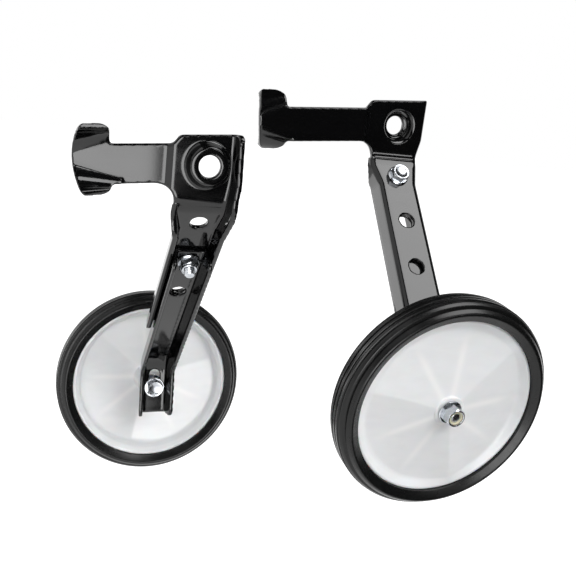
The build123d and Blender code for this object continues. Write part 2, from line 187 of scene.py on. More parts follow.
def dress(made: bpy.types.Object, node: str, finish: bpy.types.Material) -> None:
    """Lets a made piece stand for a node: same body and its material.

    Args:
        made: The piece.
        node: Node that it stands for.
        finish: Its material.
    """
    made.data.materials.clear()
    made.data.materials.append(finish)
    body = next(body for body, nodes in frame["record"]["behaviour"]["bodies"].items() if node in nodes)
    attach(made, body)
    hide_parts(node)
    LOG.info("%s: %d faces on %s", made.name, len(made.data.polygons), body)


# Materials


class NodeSheet:
    """Nodes of one material or group, with short ways to add and join them."""

    def __init__(self, tree: bpy.types.NodeTree) -> None:
        """Takes the tree that the nodes go into."""
        self.tree = tree

    def add(self, kind: str, **values: object) -> bpy.types.Node:
        """Adds a node.

        Args:
            kind: Its type's name.
            values: Its settings by name, and its inputs by a name that starts with a capital letter.

        Returns:
            The node.
        """
        made = self.tree.nodes.new(kind)
        for key, value in values.items():
            if key[0].isupper():
                made.inputs[key.replace("_", " ")].default_value = value
            else:
                setattr(made, key, value)
        return made

    def join(self, start: bpy.types.NodeSocket, end: bpy.types.NodeSocket) -> None:
        """Joins an output to an input."""
        self.tree.links.new(start, end)

    def spread(self, value: bpy.types.NodeSocket, low: float, high: float) -> bpy.types.NodeSocket:
        """Maps a value from 0 to 1 onto a range.

        Args:
            value: Output to map.
            low: Result at 0.
            high: Result at 1.

        Returns:
            The mapped output.
        """
        ramp = self.add("ShaderNodeMapRange", To_Min=low, To_Max=high)
        self.join(value, ramp.inputs["Value"])
        return ramp.outputs["Result"]

    def blend(self, mask: bpy.types.NodeSocket, low: Colour | bpy.types.NodeSocket,
              high: Colour) -> bpy.types.NodeSocket:
        """Blends two colours.

        Args:
            mask: Share of the second colour.
            low: First colour, as numbers or as an output.
            high: Second colour.

        Returns:
            The blended colour's output.
        """
        mix = self.add("ShaderNodeMix", data_type="RGBA")
        share, first, second = mix.inputs[0], mix.inputs[6], mix.inputs[7]
        self.join(mask, share)
        if isinstance(low, bpy.types.NodeSocket):
            self.join(low, first)
        else:
            first.default_value = (*low, 1)
        second.default_value = (*high, 1)
        return mix.outputs[2]


class Effects:
    """Shared node groups, each made once."""

    def __init__(self) -> None:
        """Makes the groups."""
        self.skin = self.make_skin()
        self.wear = self.make_wear()

    def make_group(self, name: str, inputs: dict[str, float], outputs: Sequence[str]) -> NodeSheet:
        """Starts a group with plain number inputs and outputs.

        Args:
            name: Name of the group.
            inputs: Its inputs with their values.
            outputs: Names of its outputs.

        Returns:
            The sheet of its nodes.
        """
        tree = bpy.data.node_groups.new(name, "ShaderNodeTree")
        for key, value in inputs.items():
            socket = tree.interface.new_socket(key, in_out="INPUT", socket_type="NodeSocketFloat")
            socket.default_value = value
        for key in outputs:
            tree.interface.new_socket(key, in_out="OUTPUT", socket_type="NodeSocketFloat")
        sheet = NodeSheet(tree)
        sheet.add("NodeGroupInput", name="in")
        sheet.add("NodeGroupOutput", name="out")
        return sheet

    def make_skin(self) -> bpy.types.NodeTree:
        """Height of a fine pebbled skin over a slower swell, as on sprayed paint or moulded plastic.

        Returns:
            The group.
        """
        fine_share = 0.35
        sheet = self.make_group("pebbled_skin", {"Grain": 900.0, "Swell": 60.0}, ["Height"])
        start, end = sheet.tree.nodes["in"], sheet.tree.nodes["out"]
        place = sheet.add("ShaderNodeTexCoord")
        fine = sheet.add("ShaderNodeTexNoise", Detail=2.0)
        slow = sheet.add("ShaderNodeTexNoise", Detail=1.0)
        for noise, key in ((fine, "Grain"), (slow, "Swell")):
            sheet.join(place.outputs["Object"], noise.inputs["Vector"])
            sheet.join(start.outputs[key], noise.inputs["Scale"])
        total = sheet.add("ShaderNodeMath", operation="MULTIPLY_ADD")
        total.inputs[1].default_value = fine_share
        sheet.join(fine.outputs["Fac"], total.inputs[0])
        sheet.join(slow.outputs["Fac"], total.inputs[2])
        sheet.join(total.outputs["Value"], end.inputs["Height"])
        return sheet.tree

    def make_wear(self) -> bpy.types.NodeTree:
        """Mask of handling marks: broad cloudy patches with thin streaks through them.

        Returns:
            The group.
        """
        sheet = self.make_group("handling_marks", {"Patch": 40.0, "Streak": 300.0}, ["Mask"])
        start, end = sheet.tree.nodes["in"], sheet.tree.nodes["out"]
        place = sheet.add("ShaderNodeTexCoord")
        patch = sheet.add("ShaderNodeTexNoise", Detail=3.0)
        sheet.join(place.outputs["Object"], patch.inputs["Vector"])
        sheet.join(start.outputs["Patch"], patch.inputs["Scale"])
        drawn = sheet.add("ShaderNodeMapping", Scale=(0.15, 1.0, 0.6), Rotation=(0.4, 0.3, 0.2))
        sheet.join(place.outputs["Object"], drawn.inputs["Vector"])
        streak = sheet.add("ShaderNodeTexNoise", Detail=4.0)
        sheet.join(drawn.outputs["Vector"], streak.inputs["Vector"])
        sheet.join(start.outputs["Streak"], streak.inputs["Scale"])
        both = sheet.add("ShaderNodeMath", operation="MULTIPLY")
        sheet.join(patch.outputs["Fac"], both.inputs[0])
        sheet.join(streak.outputs["Fac"], both.inputs[1])
        sharper = sheet.add("ShaderNodeMapRange", From_Min=0.12, From_Max=0.42,
                            interpolation_type="SMOOTHSTEP")
        sheet.join(both.outputs["Value"], sharper.inputs["Value"])
        sheet.join(sharper.outputs["Result"], end.inputs["Mask"])
        return sheet.tree


@dataclass(frozen=True)
class Finish:
    """Look of one material: a colour that wanders between two tones, its gloss and its fine relief."""

    slot: Slot
    light: Colour
    dark: Colour
    smooth: float
    rough: float
    metallic: float = 0.0
    ior: float = 1.5
    specular: float = 0.5
    subsurface: float = 0.0
    subsurface_scale: float = 0.002
    # Colour of a painted highlight along ridges, laid over the base colour where the mesh's ridge attribute says.
    ridge: Colour | None = None
    relief: float = 0.05
    relief_depth: float = 0.00002
    grain: float = 900.0
    swell: float = 60.0
    patch: float = 40.0
    streak: float = 300.0

    def make(self, effects: Effects) -> bpy.types.Material:
        """Makes the material.

        Args:
            effects: Shared node groups.

        Returns:
            The material.
        """
        material = bpy.data.materials.new(self.slot.value)
        material.use_nodes = True
        sheet = NodeSheet(material.node_tree)
        shader = sheet.tree.nodes["Principled BSDF"]
        shader.inputs["Metallic"].default_value = self.metallic
        shader.inputs["IOR"].default_value = self.ior
        shader.inputs["Specular IOR Level"].default_value = self.specular
        shader.inputs["Subsurface Weight"].default_value = self.subsurface
        shader.inputs["Subsurface Scale"].default_value = self.subsurface_scale
        wear = sheet.add("ShaderNodeGroup", node_tree=effects.wear, Patch=self.patch, Streak=self.streak)
        colour = sheet.blend(wear.outputs["Mask"], self.light, self.dark)
        # Painted highlight: the base colour brightens along ridges by the mesh's ridge attribute, in place of the
        # light that rounded edges catch.
        if self.ridge:
            highlight_mask = sheet.add("ShaderNodeAttribute", attribute_name=RIDGE_HIGHLIGHT)
            colour = sheet.blend(highlight_mask.outputs["Fac"], colour, self.ridge)
        sheet.join(colour, shader.inputs["Base Color"])
        sheet.join(sheet.spread(wear.outputs["Mask"], self.smooth, self.rough), shader.inputs["Roughness"])
        relief = sheet.add("ShaderNodeGroup", node_tree=effects.skin, Grain=self.grain, Swell=self.swell)
        bump = sheet.add("ShaderNodeBump", Strength=self.relief, Distance=self.relief_depth)
        sheet.join(relief.outputs["Height"], bump.inputs["Height"])
        sheet.join(bump.outputs["Normal"], shader.inputs["Normal"])
        return material


FINISHES = (
    Finish(Slot.PAINT, light=(0.003, 0.003, 0.0032), dark=(0.002, 0.002, 0.0022), smooth=0.07, rough=0.12,
           relief=0.25),
    Finish(Slot.ZINC, light=(0.63, 0.65, 0.68), dark=(0.43, 0.45, 0.48), smooth=0.18, rough=0.32,
           metallic=1.0, relief=0.12, grain=2500.0, swell=300.0, patch=150.0, streak=1500.0),
    Finish(Slot.NYLON, light=(0.78, 0.74, 0.58), dark=(0.66, 0.62, 0.45), smooth=0.35, rough=0.5,
           subsurface=0.2),
    # The white plastic's ridge colour is a painted highlight along the pleat edges of the wheel discs.
    Finish(Slot.PLASTIC, light=(0.82, 0.83, 0.84), dark=(0.78, 0.79, 0.80), smooth=0.28, rough=0.36,
           subsurface=0.1, ridge=(0.89, 0.89, 0.89), relief=0.1),
    Finish(Slot.RUBBER, light=(0.006, 0.0062, 0.0062), dark=(0.004, 0.0041, 0.0042), smooth=0.22,
           rough=0.32, specular=0.3, relief=0.3, grain=1500.0),
)


# Pieces


@dataclass(frozen=True)
class Bend:
    """Soft bend where two flats of a pressing meet, with the hollow of its corner turned outwards."""

    at: Vector
    across: Vector
    hollow: Vector
    half_turn: float
    radius: float = 16.0 * MM

    def ease(self, point: Vector) -> Vector:
        """Moves a point from the corner of the two flats onto the bend between them.

        Args:
            point: The point.

        Returns:
            The moved point.
        """
        run = self.radius * math.tan(self.half_turn)
        along = abs((point - self.at).dot(self.across)) / math.cos(self.half_turn)
        return point + self.hollow * (max(run - along, 0.0) ** 2 / (2 * self.radius))


@dataclass(frozen=True)
class FlangeStart:
    """Soft start of the front flange, which grows out of the sheet below the crease."""

    at: Vector
    along: Vector
    out: Vector
    sheet: float = 3.0 * MM
    nearest: float = -8.0 * MM
    farthest: float = -32.0 * MM
    low: float = -2.5 * MM
    high: float = 15.0 * MM
    share: float = 0.9

    def ease(self, point: Vector) -> Vector:
        """Draws a point of the flange back towards the sheet, the more so the nearer it is to the crease.

        Args:
            point: The point.

        Returns:
            The moved point.
        """
        off = point - self.at
        depth = -off.dot(self.out)
        if depth <= self.sheet or not self.farthest < off.x < self.nearest:
            return point
        kept = smooth_step(self.low, self.high, off.dot(self.along))
        return point + self.out * ((depth - self.sheet) * self.share * (1 - kept))


@dataclass(frozen=True)
class HookLobes:
    """Rounder rear corners of a hook's two lips, in the axes of its arm, which falls towards the hook."""

    bore: Vector
    reach: float
    length: float
    middle: float
    half_height: float = 17.5
    corner: float = 5.5
    droop: float = math.radians(5)
    last_share: float = 1.1

    def ease(self, point: Vector) -> Vector:
        """Moves a point near a lip's rear corner forwards onto the rounder corner.

        Args:
            point: The point.

        Returns:
            The moved point.
        """
        off = (point - self.bore) / MM
        along = Vector((math.cos(self.droop), 0, math.sin(self.droop)))
        up = Vector((-math.sin(self.droop), 0, math.cos(self.droop)))
        share = (off.dot(along) + self.reach) / self.length
        height = abs(off.dot(up) - self.middle) - (self.half_height - self.corner)
        if share > self.last_share or height <= 0:
            return point
        t = min(height / self.corner, 1.0)
        shift = self.corner * (1 - math.sqrt(1 - t * t)) * min(max(share, 0.0), 1.0)
        return point - along * (shift * MM)


@dataclass
class Pressing:
    """Sheet-steel piece whose sharp solid edges become the soft ones of a painted pressing."""

    node: str
    finish: bpy.types.Material
    cell: float
    shapes: Sequence[Callable[[Vector], Vector]] = ()
    weld: float = 0.01 * MM
    softness: float = 0.5
    rounds: int = 8

    def build(self) -> None:
        """Makes the piece from the solid, rounds it over and lets it stand for the node."""
        name = f"{self.node}_pressing"
        rough = bpy.data.objects.new(name + "_blank", frame["nodes"][self.node].data.copy())
        bpy.context.collection.objects.link(rough)
        rough.modifiers.new("weld", "WELD").merge_threshold = self.weld
        grid = rough.modifiers.new("grid", "REMESH")
        grid.mode = "VOXEL"
        grid.voxel_size = self.cell
        soften = rough.modifiers.new("soften", "SMOOTH")
        soften.factor = self.softness
        soften.iterations = self.rounds
        bpy.context.view_layer.update()
        shaped = rough.evaluated_get(bpy.context.evaluated_depsgraph_get())
        mesh = bpy.data.meshes.new_from_object(shaped)
        bpy.data.objects.remove(rough)
        for shape in self.shapes:
            for vertex in mesh.vertices:
                vertex.co = shape(vertex.co)
        made = finish_mesh(name, mesh, math.pi)
        dress(made, self.node, self.finish)


@dataclass(frozen=True)
class Station:
    """One ring of a turned piece: its largest radius, its height along the axis and its outline."""

    radius: float
    height: float
    form: Form = Form.ROUND


@dataclass
class Turned:
    """Bolt, nut, washer or nylon ring: stations along an axis, some of them hexagonal or threaded."""

    node: str
    stations: Sequence[Station]
    place: Matrix
    finish: bpy.types.Material
    slot: Slot = Slot.ZINC
    bored: bool = False
    pitch: float = 1.0
    thread_depth: float = 0.55
    columns: int = 96

    def reach(self, station: Station, turn: float) -> float:
        """Radius of a station in one direction.

        Args:
            station: The station.
            turn: The direction, in radians.

        Returns:
            The radius in millimetres.
        """
        if station.form is Form.HEX:
            off = (turn + math.pi / 6) % (math.pi / 3) - math.pi / 6
            return min(station.radius, HEX_FLATS / 2 / math.cos(off))
        if station.form is Form.THREAD:
            phase = (station.height / self.pitch - turn / (2 * math.pi)) % 1.0
            return station.radius - self.thread_depth * abs(2 * phase - 1)
        return station.radius

    def build(self) -> None:
        """Makes the piece and lets it stand for its node."""
        rings: list[list[Vector]] = []
        for station in self.stations:
            ring: list[Vector] = []
            for column in range(self.columns):
                turn = 2 * math.pi * column / self.columns
                radius = self.reach(station, turn)
                at = Vector((radius * math.cos(turn), radius * math.sin(turn), station.height))
                ring.append(self.place @ (at * MM))
            rings.append(ring)
        made = skin(f"{self.node}_turned", rings, looped=self.bored, capped=not self.bored)
        dress(made, self.node, self.finish)


def hex_end(base: float, top: float, chamfer: float = 0.9) -> list[Station]:
    """Stations of a hexagon that stands from a base to a chamfered top.

    Args:
        base: Height of its foot.
        top: Height of its end, which may lie below the foot.
        chamfer: Height of the cone that takes its corners off.

    Returns:
        The stations from its foot to the edge of its end face.
    """
    steps, rim_inset = 8, 0.15
    corner = HEX_FLATS / math.sqrt(3)
    rise = chamfer if top > base else -chamfer
    rim = HEX_FLATS / 2 - rim_inset
    stations = [Station(corner, base, Form.HEX)]
    for index in range(steps + 1):
        t = index / steps
        stations.append(Station(corner + (rim - corner) * t, top - rise * (1 - t), Form.HEX))
    return stations


@dataclass
class Wheel:
    """Moulded disc with a pleated web, and its ribbed tyre, about the wheel's axis."""

    side: Side
    place: Matrix
    finishes: dict[Slot, bpy.types.Material]
    crest_turn: float
    bore_r: float = 5.0
    hub_r: float = 9.5
    nose_r: float = 8.95
    face_r: float = 8.5
    hub_half: float = 10.5
    rim_inner_r: float = 47.5
    rim_outer_r: float = 53.0
    rim_half: float = 7.5
    lip_width: float = 1.4
    back_lip: float = 1.8
    bevel_in: float = 1.0
    bevel_z: float = -4.6
    seat_r: float = 50.0
    seat_half: float = 5.0
    web_wall: float = 3.0
    web_rim_z: float = 4.2
    web_hub_z: float = 9.3
    crest_rim: float = 3.4
    crest_hub: float = 0.9
    pleats: int = 3
    pleat_half: float = math.radians(40)
    flute_rim: float = 0.8
    hollow_rim: float = 0.5
    ridge_width: float = 1.2
    # Width and inward reach of the painted highlight along the pleats' edges.
    burnish_width: float = 2.0
    burnish_reach: float = 0.6
    web_steps: int = 10
    disc_columns: int = 432
    disc_sharp: float = math.radians(60)
    tyre_r: float = 63.5
    tyre_half: float = 12.0
    crown_half: float = 5.5
    shoulder_drop: float = 5.5
    foot_half: float = 9.0
    grooves: int = 6
    groove_pitch: float = 3.4
    groove_width: float = 1.3
    groove_depth: float = 1.3
    groove_wall: float = 0.25
    tread_step: float = 0.16
    tyre_columns: int = 240

    def floor_z(self, radius: float) -> float:
        """Height of the web's plain cone at a radius, both in millimetres."""
        slope = (self.web_hub_z - self.web_rim_z) / (self.hub_r - self.rim_inner_r)
        return self.web_rim_z + (radius - self.rim_inner_r) * slope

    def web_z(self, radius: float, turn: float) -> float:
        """Height of the web's outer face, pleats included, softened along its ridges.

        Args:
            radius: The radius, in millimetres.
            turn: The direction from the crest, in radians.

        Returns:
            The height in millimetres.
        """
        weights = {-1.0: 1, -0.5: 2, 0.0: 3, 0.5: 2, 1.0: 1}
        reach = self.ridge_width / radius
        lift = sum(weight * self.lift(radius, turn + step * reach) for step, weight in weights.items())
        return self.floor_z(radius) + lift / sum(weights.values())

    def lift(self, radius: float, turn: float) -> float:
        """Height of the pleats above the plain cone, with flutes beside crests and hollows between pleats.

        Args:
            radius: The radius, in millimetres.
            turn: The direction from the crest, in radians.

        Returns:
            The height in millimetres.
        """
        third = 2 * math.pi / self.pleats
        off = abs((turn + third / 2) % third - third / 2)
        share = max(radius - self.hub_r, 0.0) / (self.rim_inner_r - self.hub_r)
        if off < self.pleat_half:
            across = off / self.pleat_half
            crest = self.crest_hub + (self.crest_rim - self.crest_hub) * share
            return crest * (1 - across) - 4 * self.flute_rim * share * across * (1 - across)
        across = (off - self.pleat_half) / (third - 2 * self.pleat_half)
        return -4 * self.hollow_rim * share * across * (1 - across)

    def ridge(self, radius: float, turn: float) -> float:
        """Share of the painted highlight along a pleat's edge, which thins out towards the rim.

        Args:
            radius: The radius, in millimetres.
            turn: The direction, in radians.

        Returns:
            The share.
        """
        third = 2 * math.pi / self.pleats
        off = abs((turn - self.crest_turn + third / 2) % third - third / 2) - self.pleat_half
        length = smooth_step(self.rim_inner_r, self.burnish_reach * self.rim_inner_r, radius)
        return length * math.exp(-(off * radius / self.burnish_width) ** 2)

    def at(self, radius: float, turn: float, height: float) -> Vector:
        """Point of the row's frame for a radius, a direction and a height along the axis."""
        x, down = -radius * math.sin(turn), radius * math.cos(turn)
        return self.place @ (Vector((x, down, height)) * MM)

    def build(self) -> None:
        """Makes the disc and the tyre."""
        self.build_disc()
        self.build_tyre()

    def turns(self, count: int) -> list[float]:
        """Directions that share out a full turn."""
        return [2 * math.pi * index / count for index in range(count)]

    def disc_section(self, turn: float) -> list[Vector]:
        """Section of the disc in one direction.

        Args:
            turn: The direction, in radians.

        Returns:
            Its outline, as radii and heights.
        """
        shares = [step / self.web_steps for step in range(self.web_steps + 1)]
        web = [self.nose_r + (self.rim_inner_r - self.nose_r) * share for share in shares]
        back = [self.hub_r + (self.rim_inner_r - self.hub_r) * share for share in shares]
        off = turn - self.crest_turn
        rows = [(self.bore_r, -self.hub_half), (self.hub_r, -self.hub_half)]
        rows += [(radius, self.web_z(radius, off) - self.web_wall) for radius in back]
        rim = len(rows)
        rows += [(self.rim_inner_r + self.bevel_in, self.bevel_z),
                 (self.rim_outer_r - self.back_lip, -self.rim_half), (self.rim_outer_r, -self.rim_half),
                 (self.rim_outer_r, -self.seat_half), (self.seat_r, -self.seat_half),
                 (self.seat_r, self.seat_half), (self.rim_outer_r, self.seat_half),
                 (self.rim_outer_r, self.rim_half), (self.rim_outer_r - self.lip_width, self.rim_half)]
        front = len(rows)
        rows += [(radius, self.web_z(radius, off)) for radius in reversed(web)]
        nose = len(rows)
        rows += [(self.face_r, self.hub_half), (self.bore_r, self.hub_half)]
        radii = {0: 0.3, 1: 1.2, 2: 1.5, rim - 1: 3.0, rim: 3.0, rim + 1: 0.8, rim + 2: 1.0,
                 front - 2: 0.6, front - 1: 0.8, front: 4.0, nose - 1: 2.0, nose: 0.8, nose + 1: 0.3}
        return rounded([Vector(row) for row in rows], radii, steps=4)

    def build_disc(self) -> None:
        """Makes the white disc."""
        turns = self.turns(self.disc_columns)
        sections = [self.disc_section(turn) for turn in turns]
        rings = [[self.at(row.x, turn, row.y) for row in section] for turn, section in zip(turns, sections)]
        node = self.side.node("wheel_disc")
        made = skin(f"{node}_moulding", rings, looped=True)
        made.data.set_sharp_from_angle(angle=self.disc_sharp)
        # Painted highlight along the pleats' edges, stored per point for the plastic's ridge colour.
        ridges = made.data.attributes.new(RIDGE_HIGHLIGHT, "FLOAT", "POINT")
        shares = [self.ridge(row.x, turn) for turn, section in zip(turns, sections) for row in section]
        ridges.data.foreach_set("value", shares)
        dress(made, node, self.finishes[Slot.PLASTIC])

    def tyre_section(self) -> list[Vector]:
        """Section of the tyre.

        Returns:
            Its outline, as radii and heights.
        """
        shoulder = self.tyre_r - self.shoulder_drop
        corners = [(self.rim_outer_r, -self.foot_half), (shoulder, -self.tyre_half),
                   (self.tyre_r, -self.crown_half), (self.tyre_r, self.crown_half),
                   (shoulder, self.tyre_half), (self.rim_outer_r, self.foot_half),
                   (self.rim_outer_r, self.seat_half),
                   (self.seat_r, self.seat_half), (self.seat_r, -self.seat_half),
                   (self.rim_outer_r, -self.seat_half)]
        radii = {0: 0.6, 1: 2.0, 2: 5.0, 3: 5.0, 4: 2.0, 5: 0.6}
        outline = rounded([Vector(corner) for corner in corners], radii, steps=8)
        fine: list[Vector] = []
        for index, here in enumerate(outline):
            after = outline[(index + 1) % len(outline)]
            outer = min(here.x, after.x) > shoulder
            parts = max(1, math.ceil((after - here).length / self.tread_step)) if outer else 1
            fine += [here.lerp(after, part / parts) for part in range(parts)]
        return [Vector((self.grooved(row.x, row.y), row.y)) for row in fine]

    def grooved(self, radius: float, height: float) -> float:
        """Radius of the tread with its grooves, whose floors follow the fall of the shoulders.

        Args:
            radius: Radius of the plain tread, in millimetres.
            height: Height along the axis, in millimetres.

        Returns:
            The radius in millimetres.
        """
        if radius < self.tyre_r - self.shoulder_drop:
            return radius
        wall = self.groove_wall
        for index in range(self.grooves):
            middle = (index - (self.grooves - 1) / 2) * self.groove_pitch
            fall = max(abs(middle) - self.crown_half, 0.0) / (self.tyre_half - self.crown_half)
            floor = self.tyre_r - self.shoulder_drop * fall - self.groove_depth
            off = abs(height - middle) - self.groove_width / 2
            if off < wall:
                return radius - max(radius - floor, 0.0) * (1 - smooth_step(-wall, wall, off))
        return radius

    def build_tyre(self) -> None:
        """Makes the rubber tyre."""
        section = self.tyre_section()
        rings = [[self.at(row.x, turn, row.y) for row in section] for turn in self.turns(self.tyre_columns)]
        node = self.side.node("tyre")
        made = skin(f"{node}_rubber", rings, looped=True)
        dress(made, node, self.finishes[Slot.RUBBER])


@dataclass
class Unit:
    """One training wheel: bracket, lower arm, fasteners and wheel."""

    side: Side
    setting: int
    crest_turn: float
    reach: float
    hook_length: float
    hook_rise: float
    finishes: dict[Slot, bpy.types.Material]
    arm_middle: float = 1.0
    slope: float = math.radians(40)
    plate_y: float = 8.0
    crease_drop: float = 20.5
    first_hole: float = 12.5
    hole_pitch: float = 31.1
    sheet: float = 3.0
    arm_sheet: float = 2.5
    thread_r: float = 3.0
    thread_gap: float = 0.03
    thread_rows: int = 10
    core_r: float = 2.4
    flange_r: float = 6.6
    flange_height: float = 1.5
    flange_edge: float = 0.2
    brim_height: float = 0.8
    head_height: float = 4.2
    dimple_r: float = 3.9
    dimple_floor_r: float = 3.4
    dimple_edge: float = 0.35
    dimple_depth: float = 0.45
    middle_r: float = 1.0
    nut_height: float = 5.0
    collar_r: float = 4.75
    collar_height: float = 1.5
    collar_edge: float = 0.5
    collar_lip_r: float = 3.9
    collar_sink: float = 0.25
    tail: float = 3.4
    arm_face: float = -17.0
    washer_r: float = 6.8
    washer_bore_r: float = 3.2
    washer_height: float = 1.2
    washer_edge: float = 0.3
    washer_bore_edge: float = 0.15
    lock_height: float = 6.4
    lock_chamfer: float = 1.4
    insert_r: float = 4.1
    insert_height: float = 1.6
    insert_low: float = 4.1
    insert_edge: float = 0.3
    end_inset: float = 1.0
    fine_cell: float = 0.52 * MM
    plain_cell: float = 0.58 * MM
    joint: dict = field(init=False)

    def __post_init__(self) -> None:
        """Finds the joint that the unit's wheel turns on."""
        name = self.side.node("wheel_spin")
        self.joint = next(joint for joint in frame["joints"] if joint["name"] == name)

    @property
    def axle(self) -> Matrix:
        """Place of the wheel's middle.

        Returns:
            The place, with X to the rear, Y down and Z out along the axis.
        """
        out = Vector(self.joint["axis"]).normalized()
        down = out.cross(REAR)
        if down.dot(UP) > 0:
            down.negate()
        turn = Matrix((REAR, down, out)).transposed()
        return Matrix.Translation(self.joint["pos_m"]) @ turn.to_4x4()

    @property
    def seat(self) -> Matrix:
        """Place of the height bolt's head on the channel.

        Returns:
            The place, with X to the rear and Z out from the channel's face.
        """
        along = (self.first_hole + self.setting * self.hole_pitch) * MM
        at = self.crease + self.tilted(math.sin(self.slope), -math.cos(self.slope)) * along
        out = self.tilted(math.cos(self.slope), math.sin(self.slope))
        turn = Matrix((REAR, out.cross(REAR), out)).transposed()
        return Matrix.Translation(at) @ turn.to_4x4()

    @property
    def crease(self) -> Vector:
        """Middle of the crease between the plate and the channel, on the outer face."""
        return self.bore + self.tilted(self.plate_y, -self.crease_drop) * MM

    @property
    def bore(self) -> Vector:
        """Middle of the axle hole.

        Returns:
            The point, on the face that meets the bicycle.
        """
        name = self.side.node("axle_bore")
        mount = next(mount for mount in frame["record"]["mounts"] if mount["name"] == name)
        return Vector(mount["pos_m"])

    @property
    def nut_bore_r(self) -> float:
        """Radius of a nut's bore, a hair wider than the thread."""
        return self.thread_r + self.thread_gap

    def tilted(self, out: float, up: float) -> Vector:
        """Vector with a part outwards from the bicycle and a part upwards."""
        return Vector((0, self.side.value * out, up))

    def build(self) -> None:
        """Makes every piece of the unit."""
        paint = self.finishes[Slot.PAINT]
        half = self.slope / 2
        bend = Bend(self.crease, self.tilted(-math.sin(half), math.cos(half)),
                    self.tilted(math.cos(half), math.sin(half)), half)
        start = FlangeStart(self.crease, self.tilted(math.sin(self.slope), -math.cos(self.slope)),
                            self.tilted(math.cos(self.slope), math.sin(self.slope)))
        lobes = HookLobes(self.bore, self.reach, self.hook_length, self.arm_middle + self.hook_rise)
        shapes = (start.ease, bend.ease, lobes.ease)
        Pressing(self.side.node("upper_bracket"), paint, self.fine_cell, shapes).build()
        Pressing(self.side.node("lower_arm"), paint, self.plain_cell).build()
        Wheel(self.side, self.axle, self.finishes, self.crest_turn).build()
        self.build_height_fasteners()
        self.build_axle_fasteners()
        bush = frame["nodes"][self.side.node("hub_bush")]
        bush.data.materials.clear()
        bush.data.materials.append(self.finishes[Slot.ZINC])
        LOG.info("%s: plated as it is", bush.name)

    def turned(self, piece: str, stations: Sequence[Station], place: Matrix, bored: bool = False) -> None:
        """Makes a zinc-plated piece of the unit, whose stations close on themselves where it is bored."""
        Turned(self.side.node(piece), stations, place, self.finishes[Slot.ZINC], bored=bored).build()

    def flange(self, rim: float) -> list[Station]:
        """Stations of a flange that stands on its seat.

        Args:
            rim: Radius where the seat starts.

        Returns:
            The stations from the seat's rim up to the hexagon.
        """
        inset, rise = 0.3, 0.25
        return [Station(rim, 0.0), Station(self.flange_r - self.flange_edge, 0.0),
                Station(self.flange_r, self.flange_edge), Station(self.flange_r, self.brim_height),
                Station(self.flange_r - inset, self.brim_height + rise),
                Station(HEX_FLATS / math.sqrt(3), self.flange_height)]

    def thread(self, low: float, high: float) -> list[Station]:
        """Stations of a bolt's thread.

        Args:
            low: Height where it starts.
            high: Height where it ends.

        Returns:
            The stations in that order.
        """
        steps = math.ceil(abs(high - low) * self.thread_rows)
        heights = [low + (high - low) * step / steps for step in range(steps + 1)]
        return [Station(self.thread_r, height, Form.THREAD) for height in heights]

    def dimple(self, face: float, inwards: int) -> list[Station]:
        """Stations of the hollow in the end of a bolt's head.

        Args:
            face: Height of the end face.
            inwards: Sign of the direction into the head.

        Returns:
            The stations from the hollow's rim to its middle.
        """
        return [Station(self.dimple_r, face),
                Station(self.dimple_floor_r, face + inwards * self.dimple_edge),
                Station(self.middle_r, face + inwards * self.dimple_depth)]

    def build_height_fasteners(self) -> None:
        """Makes the bolt that sets the height and its nut."""
        grip = self.sheet + self.arm_sheet
        end = -grip - self.flange_height - self.nut_height - self.tail
        top = self.flange_height + self.head_height
        tip, first_turn, past_nut = 0.1, 0.4, 1.0
        bolt = [Station(self.middle_r, end), Station(self.core_r, end),
                Station(self.core_r + tip, end + tip)]
        bolt += self.thread(end + first_turn, end + self.tail + past_nut)
        bolt += [Station(self.thread_r, -grip), Station(self.thread_r, 0.0)]
        bolt += self.flange(self.thread_r)
        bolt += hex_end(self.flange_height, top)
        bolt += self.dimple(top, inwards=-1)
        self.turned("height_bolt", bolt, self.seat)
        under = self.seat @ Matrix.Translation((0, 0, -grip * MM)) @ Matrix.Rotation(math.pi, 4, "X")
        nut_top = self.flange_height + self.nut_height
        nut = self.flange(self.nut_bore_r) + hex_end(self.flange_height, nut_top - self.collar_height)
        nut += self.collar(nut_top)
        self.turned("height_nut", nut, under, bored=True)

    def collar(self, top: float) -> list[Station]:
        """Stations of the round collar on the height nut, and of its bore.

        Args:
            top: Height of the collar's lip.

        Returns:
            The stations from the collar's foot over its lip and down the bore.
        """
        bore, sunk = self.nut_bore_r, top - self.collar_sink
        lip, edge, flare = self.collar_lip_r, top - self.collar_edge, 0.1
        shoulder, crown, inside = lip + 0.5, lip + 0.3, lip - 0.2
        return [Station(self.collar_r, top - self.collar_height), Station(self.collar_r, edge),
                Station(shoulder, top - flare), Station(crown, top), Station(lip, top),
                Station(inside, sunk), Station(bore + flare, sunk), Station(bore, edge),
                Station(bore, flare)]

    def washer(self, low: float) -> list[Station]:
        """Stations of a washer.

        Args:
            low: Height of its lower face.

        Returns:
            The stations from the bore around the rim and back.
        """
        high = low + self.washer_height
        bore, edge, bore_edge = self.washer_bore_r, self.washer_edge, self.washer_bore_edge
        return [Station(bore, low + bore_edge), Station(bore + bore_edge, low),
                Station(self.washer_r - edge, low), Station(self.washer_r, low + edge),
                Station(self.washer_r, high - edge), Station(self.washer_r - edge, high),
                Station(bore + bore_edge, high), Station(bore, high - bore_edge)]

